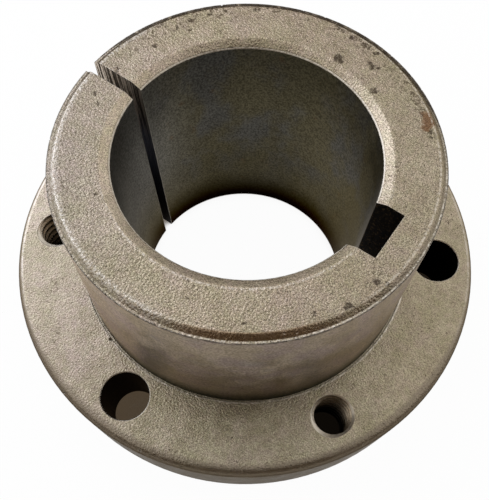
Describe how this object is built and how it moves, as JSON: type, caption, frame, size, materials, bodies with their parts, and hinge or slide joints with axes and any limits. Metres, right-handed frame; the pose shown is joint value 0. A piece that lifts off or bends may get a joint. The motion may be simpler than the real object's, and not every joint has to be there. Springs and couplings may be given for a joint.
{
  "type": "quick disconnect bushing",
  "caption": "Flanged split bushing with a tapered barrel, keyed bore, lengthwise saw slit and alternating clear and tapped flange holes, for wedging a hub onto a shaft.",
  "frame": {"origin": "centre of the bore on the flange's back face, which is the lowest face", "axes": "+Z along the bore from the flange to the small end of the taper, +X through the middle of the keyway, -X through the saw slit"},
  "size_m": [0.0682, 0.0682, 0.0337],
  "materials": {
    "sintered_iron": "bare pressed and sintered iron, sandy grain, turned taper and bore, light rust and pits"
  },
  "bodies": {
    "root": {"bushing": "sintered_iron"}
  },
  "joints": []
}
